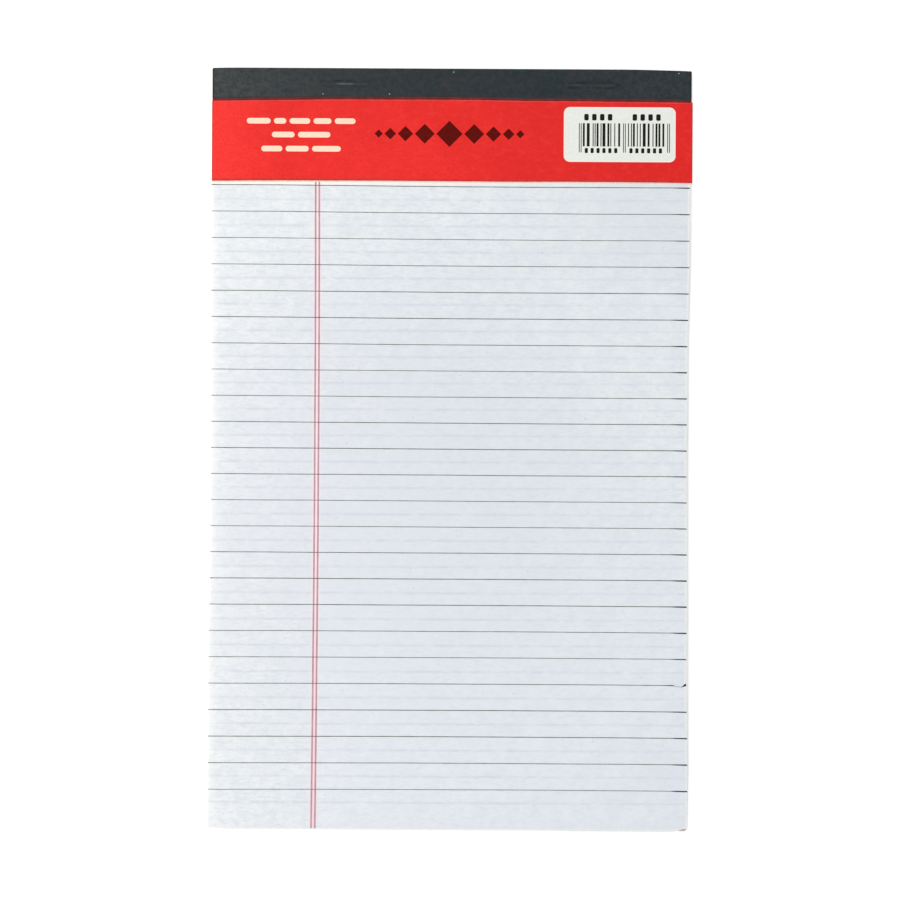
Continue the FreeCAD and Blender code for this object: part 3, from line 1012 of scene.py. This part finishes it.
def tape_front(x):
    """Where the painted shadow in front of the tape ends on the card: highest left of the middle and lower
    towards both ends.
    """
    left = 0.56 * np.clip((-28 - x) / 36, 0.0, 1.1) ** 1.2
    right = 0.2 * ease((x - 8) / 14) + 0.27 * np.clip((x - 25) / 39, 0.0, 1.1) ** 2
    return CARD_HIGH[1] - TAPE_LEAF - left - right + ripple(71, x, 30.0, 0.025)


def tape_profile(x):
    """The tape's outer path at each x, front edge to head to back edge: y, z, across and up."""
    spine = TAPE_HIGH[1] - head_pull(x)
    round_steps = np.linspace(0, math.pi / 2, 7)[1:-1]
    front = tape_front(x) + SHADOW_LINE_WIDTH
    back = TAPE_LOW[1] + ripple(72, x, 45.0, 0.08)
    flat = np.concatenate([np.linspace(0, 0.38, 12), np.linspace(0.4, 0.72, 34), np.linspace(0.74, 1, 9)])
    rows = []
    for share in flat:
        rows.append((front + (spine - FOLD - front) * share, TAPE_TOP, 0.0, 1.0))
    for angle in round_steps:
        across, up = math.sin(angle), math.cos(angle)
        rows.append((spine - FOLD + FOLD * across, TAPE_TOP - FOLD + FOLD * up, across, up))
    for share in np.linspace(0, 1, 9):
        rows.append((spine, TAPE_TOP - FOLD + (2 * FOLD - TAPE_TOP) * share, 1.0, 0.0))
    for angle in round_steps:
        across, up = math.cos(angle), -math.sin(angle)
        rows.append((spine - FOLD + FOLD * across, FOLD + FOLD * up, across, up))
    for share in np.linspace(0, 1, 14):
        rows.append((spine - FOLD + (back - spine + FOLD) * share, 0.0, 0.0, -1.0))
    return rows


def staple_relief(x, y):
    """The ridge that each staple's crown raises in the front leaf, and the creases on both sides of it."""
    total = np.zeros(np.broadcast(x, y).shape)
    for number, (low, high) in enumerate(STAPLES):
        off = y - (low[1] + high[1]) / 2
        inside = ease((high[0] + 0.4 - x) / 0.9) * ease((x - low[0] + 0.4) / 0.9)
        ridge = 0.17 * ease(1.25 - np.abs(off) / RIDGE_HALF)
        worn = 0.6 + 0.4 * ripple(80 + number, x, 9.0, 1.0)
        crease = 0.075 * worn * np.exp(-(((off - CREASE_OUT) / 0.28) ** 2))
        foot = 0.035 * worn * np.exp(-(((off + CREASE_OUT) / 0.3) ** 2))
        total += inside * (ridge - crease - foot)
        for end in (low[0], high[0]):
            total += 0.05 * np.exp(-(((x - end) / 0.7) ** 2 + (off / 0.6) ** 2))
    return total


def build_tape_shadow_line(near, far, painted_highlight):
    """Painted shadow along the tape's front edge, darker next to the tape, with a thin painted highlight
    beyond it.
    """
    x = stations(*TAPE_ENDS, 1.2, 0.3, 0.9)
    front = tape_front(x)
    split = 0.5 * SHADOW_LINE_WIDTH + ripple(73, x, 11.0, 0.1)
    reach = 0.3 + ripple(74, x, 8.0, 0.1)
    y = np.stack([front - reach, front, front + split, front + SHADOW_LINE_WIDTH + 0.3])
    z = CARD_HIGH[2] + np.array([0.002, 0.012, 0.03, 0.05])[:, None]
    x = np.broadcast_to(x, y.shape)
    parts = np.zeros((3, y.shape[1] - 1), int) + np.array([[2], [1], [0]])
    skin = Skin().shell(stacked(x, y, z), stacked(x, y, CARD_HIGH[2] - INK_SINK), parts=parts)
    skin.piece("tape_shadow_line", 40, "charcoal_tape", [near, far, painted_highlight])


def build_tape(face, edge):
    """The binding tape folded over the head, raised over the staples."""
    x = stations(*TAPE_ENDS, 0.55, 0.12, 0.6)
    outer, inner = [], []
    for y, z, across, up in tape_profile(x):
        y = np.broadcast_to(y, x.shape).astype(float)
        swell = relief = np.zeros_like(x)
        if up > 0.99:
            swell = 0.012 * (1 + np.sin(x / 6.3 + y)) + ripple(75, x + 3 * y, 17.0, 0.006)
            swell = swell * ease((y - tape_front(x) - SHADOW_LINE_WIDTH) / 2.0)
            relief = staple_relief(x, y)
        raised = np.maximum(relief, 0.0) + swell
        outer.append(stacked(x, y + across * swell, z + up * (relief + swell)))
        inner.append(stacked(x, y - across * TAPE_THICK, z - up * TAPE_THICK + up * (raised + 0.003)))
    outer, inner = np.array(outer), np.array(inner)
    skin = Skin().shell(outer, inner, parts=banded(outer, 0, 3))
    skin.piece("tape_wrap", 50, "charcoal_tape", [face, face, edge], "binding_tape")


# ---- stage, in metres

EYE_DISTANCE = 0.70
VIEW_WIDTH = 0.2403
VIEW_MIDDLE = (-0.00012, -0.00032)
VIEW_ROLL = math.radians(0.3)
KEY_WATTS = 0.5
TOP_WATTS = 0.6
FILL = 0.708
FLOOR_HALF = 1.6
FLOOR_LEVEL = -0.00002


def seen_white(tree):
    """1 for rays that show the white surround, straight, mirrored or through something, and 0 for others."""
    path = tree.nodes.new("ShaderNodeLightPath")
    seen = path.outputs["Is Camera Ray"]
    for ray in ("Is Glossy Ray", "Is Transmission Ray"):
        either = tree.nodes.new("ShaderNodeMath")
        either.operation = "MAXIMUM"
        tree.links.new(seen, either.inputs[0])
        tree.links.new(path.outputs[ray], either.inputs[1])
        seen = either.outputs[0]
    return seen


def build_floor():
    """A white floor that keeps the pad's shadow and goes out to white."""
    mesh = bpy.data.meshes.new("floor")
    corners = [(x * FLOOR_HALF, y * FLOOR_HALF, FLOOR_LEVEL) for x, y in ((-1, -1), (1, -1), (1, 1), (-1, 1))]
    mesh.from_pydata(corners, [], [(0, 1, 2, 3)])
    floor = bpy.data.objects.new("floor", mesh)
    bpy.context.scene.collection.objects.link(floor)
    f = Finish("floor_white", 0.9, 0.0)
    f.shader.inputs["Base Color"].default_value = (0.9, 0.9, 0.9, 1.0)
    f.shader.inputs["Emission Color"].default_value = (1.0, 1.0, 1.0, 1.0)
    away = f.node("ShaderNodeVectorMath", Vector=f.place)
    away.operation = "LENGTH"
    glow = f.fade(away.outputs["Value"], 0.15, 0.6, 0.5, 0.8)
    f.feed(f.shader.inputs["Emission Strength"], f.times(seen_white(f.tree), glow))
    mesh.materials.append(f.material)


def soft_lamp(name, place, size, watts, colour):
    """A square soft lamp that looks at the pad's middle."""
    lamp = bpy.data.lights.new(name, "AREA")
    lamp.shape = "SQUARE"
    lamp.size = size
    lamp.energy = watts
    lamp.color = colour
    made = bpy.data.objects.new(name, lamp)
    made.location = place
    made.rotation_euler = (-made.location).to_track_quat("-Z", "Y").to_euler()
    bpy.context.scene.collection.objects.link(made)


def build_light():
    """A low soft lamp at the left, a high one at the upper left and an even surround."""
    soft_lamp("soft_key", (-0.30, 0.0, 0.15), 0.30, KEY_WATTS, (1.0, 0.86, 0.66))
    soft_lamp("soft_top", (-0.22, 0.22, 0.60), 0.25, TOP_WATTS, (1.0, 0.95, 0.88))
    world = bpy.data.worlds.new("surround")
    world.use_nodes = True
    bpy.context.scene.world = world
    nodes, links = world.node_tree.nodes, world.node_tree.links
    fill = nodes["Background"]
    fill.inputs["Color"].default_value = (0.954, 0.976, 1.0, 1.0)
    fill.inputs["Strength"].default_value = FILL
    white = nodes.new("ShaderNodeBackground")
    white.inputs["Color"].default_value = (1.0, 1.0, 1.0, 1.0)
    blend = nodes.new("ShaderNodeMixShader")
    for place, source in enumerate((seen_white(world.node_tree), fill.outputs[0], white.outputs[0])):
        links.new(source, blend.inputs[place])
    links.new(blend.outputs[0], nodes["World Output"].inputs["Surface"])


def build_camera():
    """A camera straight above, turned as the pad lies in the picture."""
    data = bpy.data.cameras.new("camera")
    data.sensor_width = 36.0
    data.lens = data.sensor_width * EYE_DISTANCE / VIEW_WIDTH
    data.clip_start = 0.01
    camera = bpy.data.objects.new("camera", data)
    camera.location = (*VIEW_MIDDLE, BLOCK_HIGH[2] * MM + EYE_DISTANCE)
    camera.rotation_euler = (0.0, 0.0, VIEW_ROLL)
    bpy.context.scene.collection.objects.link(camera)
    bpy.context.scene.camera = camera


# ---- the pad

def finish_cad_nodes():
    """Gives the staples, which keep their CAD shape, their finish."""
    wire = wire_finish()
    for node in ("staple_left", "staple_right"):
        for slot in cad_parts[node].material_slots:
            slot.material = wire


def build_sheets():
    """The board, the stack, the loose sheets on it and the ruling on the top one."""
    paper, page_edge = paper_finish(), page_edge_finish()
    painted_white, rim = painted_white_finish(), rim_finish()
    build_board(board_finish("greyboard_pulp", False), board_finish("greyboard_cut", True))
    build_page_stack(painted_white, page_edge)
    for number in range(LOOSE_SHEETS):
        build_loose_sheet(number, painted_white if number else paper, page_edge, painted_white if number else rim)
    build_rules(rule_finish())
    build_margin_lines(margin_finish())


def build_head():
    """The card with its print, and the tape over both."""
    build_card(card_finish(), core_finish(), dark_band_finish())
    build_header_rows(ink_finish("cream_ink", (253, 224, 200), (255, 234, 212)))
    build_ornament(ink_finish("maroon_ink", (90, 12, 8), (104, 20, 14), 0.5, 0.04))
    build_label("label_panel", ink_finish("rim_ink", (255, 244, 232), (255, 250, 240)))
    white = ink_finish("white_ink", (238, 243, 238), (246, 250, 245))
    build_label("label_field", white, LABEL_RIM, 0.006)
    build_label_bars(ink_finish("black_ink", (24, 24, 19), (36, 35, 29), 0.5, 0.06))
    # Painted shadow along the tape's front edge, and a painted highlight beyond it.
    near = painted_edge_band_finish("painted_shadow_near_tape", (66, 48, 50), (84, 50, 50))
    far = painted_edge_band_finish("painted_shadow_on_print", (96, 30, 30), (132, 36, 34))
    build_tape_shadow_line(near, far, painted_edge_band_finish("painted_highlight_beyond_shadow", (222, 58, 56), (238, 72, 68)))
    build_tape(tape_finish(), tape_edge_finish())


bpy.context.scene.view_settings.view_transform = "Standard"
build_camera()
build_light()
build_floor()
build_sheets()
build_head()
finish_cad_nodes()
